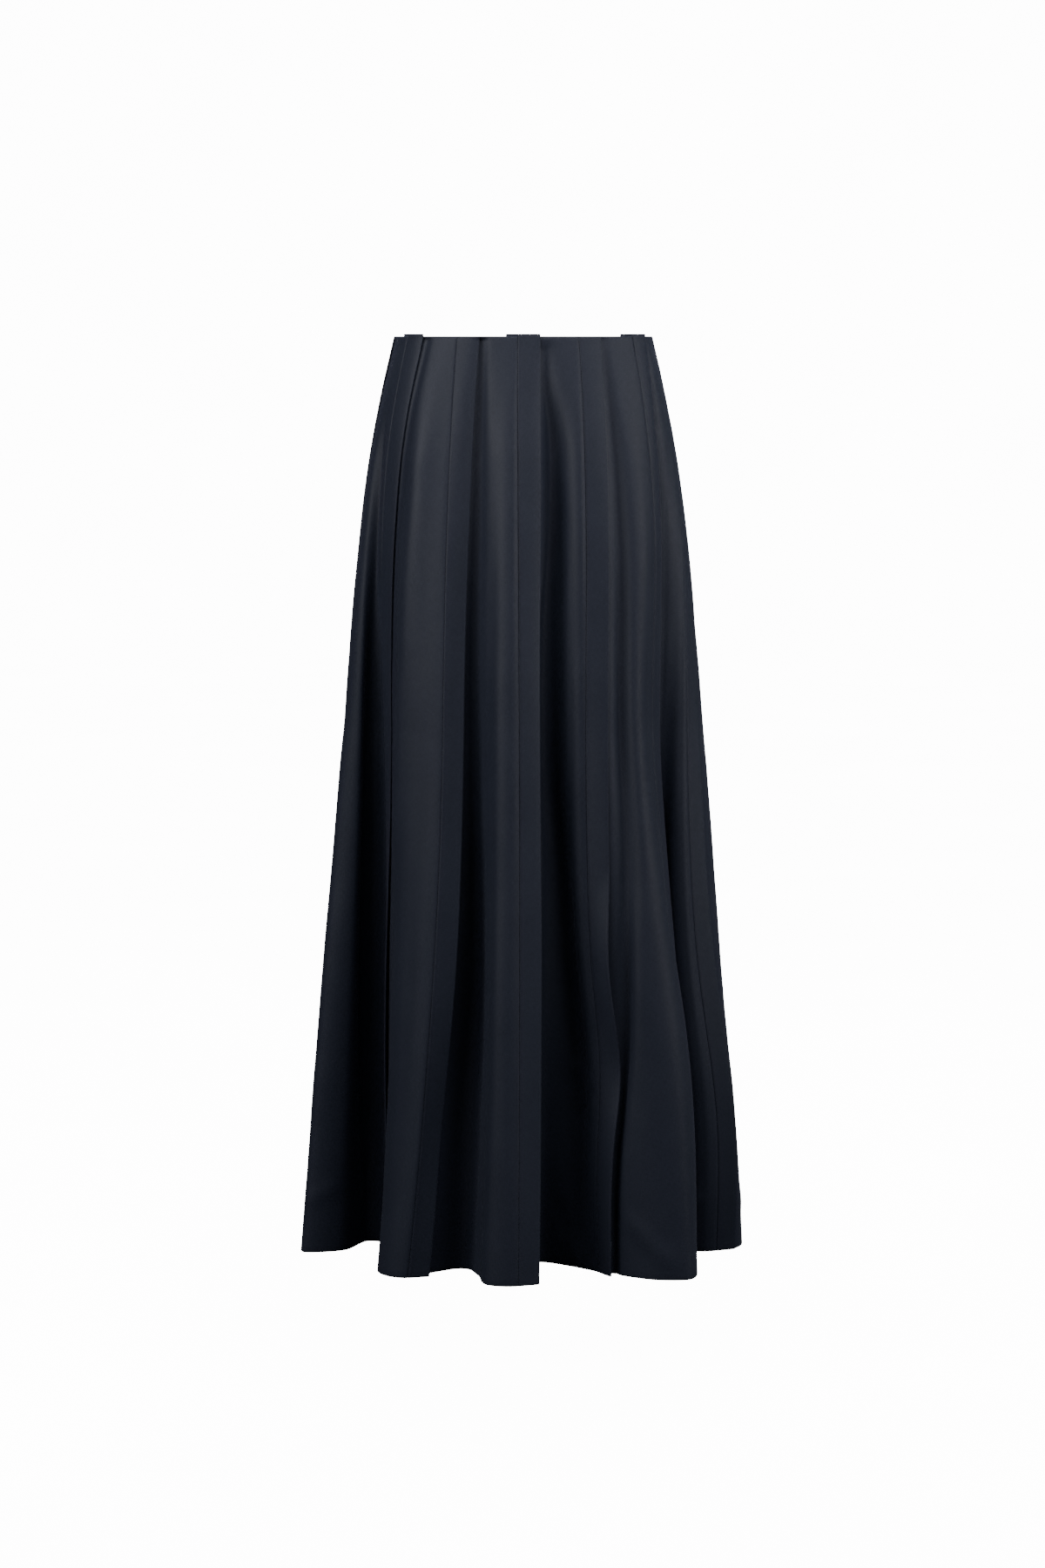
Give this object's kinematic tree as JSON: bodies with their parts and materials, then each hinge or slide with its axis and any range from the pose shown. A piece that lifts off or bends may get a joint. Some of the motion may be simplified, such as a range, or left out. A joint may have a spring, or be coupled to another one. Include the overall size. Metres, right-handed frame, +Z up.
{
  "type": "pleated maxi skirt",
  "caption": "Long flared skirt in worn shape, hollow, with stitched-down pleats from a fitted waist to a fluted hem and a concealed zip at the back.",
  "frame": {"origin": "middle of the waist opening, level with its edge", "axes": "+Z up, -Y towards the front of the skirt, +X towards the wearer's left"},
  "size_m": [0.4634, 0.4105, 0.9497],
  "materials": {
    "cloth": "fine dark navy wool, matt with a soft nap",
    "zip_tape": "dark woven tape",
    "zip_coil": "dark moulded coil",
    "zip_metal": "dark satin enamel"
  },
  "bodies": {
    "skirt": {"front_gore_1": "cloth", "front_gore_2": "cloth", "front_gore_3": "cloth", "front_gore_4": "cloth", "front_gore_5": "cloth", "front_gore_6": "cloth", "back_gore_1": "cloth", "back_gore_2": "cloth", "back_gore_3": "cloth", "back_gore_4": "cloth", "back_gore_5": "cloth", "back_gore_6": "cloth", "pleat_right_side": "cloth", "pleat_front_right_outer": "cloth", "pleat_front_right": "cloth", "pleat_centre_front": "cloth", "pleat_front_left": "cloth", "pleat_front_left_outer": "cloth", "pleat_left_side": "cloth", "pleat_back_left_outer": "cloth", "pleat_back_left": "cloth", "pleat_centre_back": "cloth", "pleat_back_right": "cloth", "pleat_back_right_outer": "cloth", "zip_tape_left": "zip_tape", "zip_tape_right": "zip_tape", "zip_coil": "zip_coil", "zip_slider": "zip_metal"},
    "pull": {"zip_pull": "zip_metal"}
  },
  "joints": [
    {"name": "pull_hinge", "type": "hinge", "parent": "skirt", "child": "pull", "pos_m": [0.00577, 0.09863, -0.00449], "axis": [0.9999, -0.0083, 0.0081], "range_deg": [0, 150]}
  ]
}
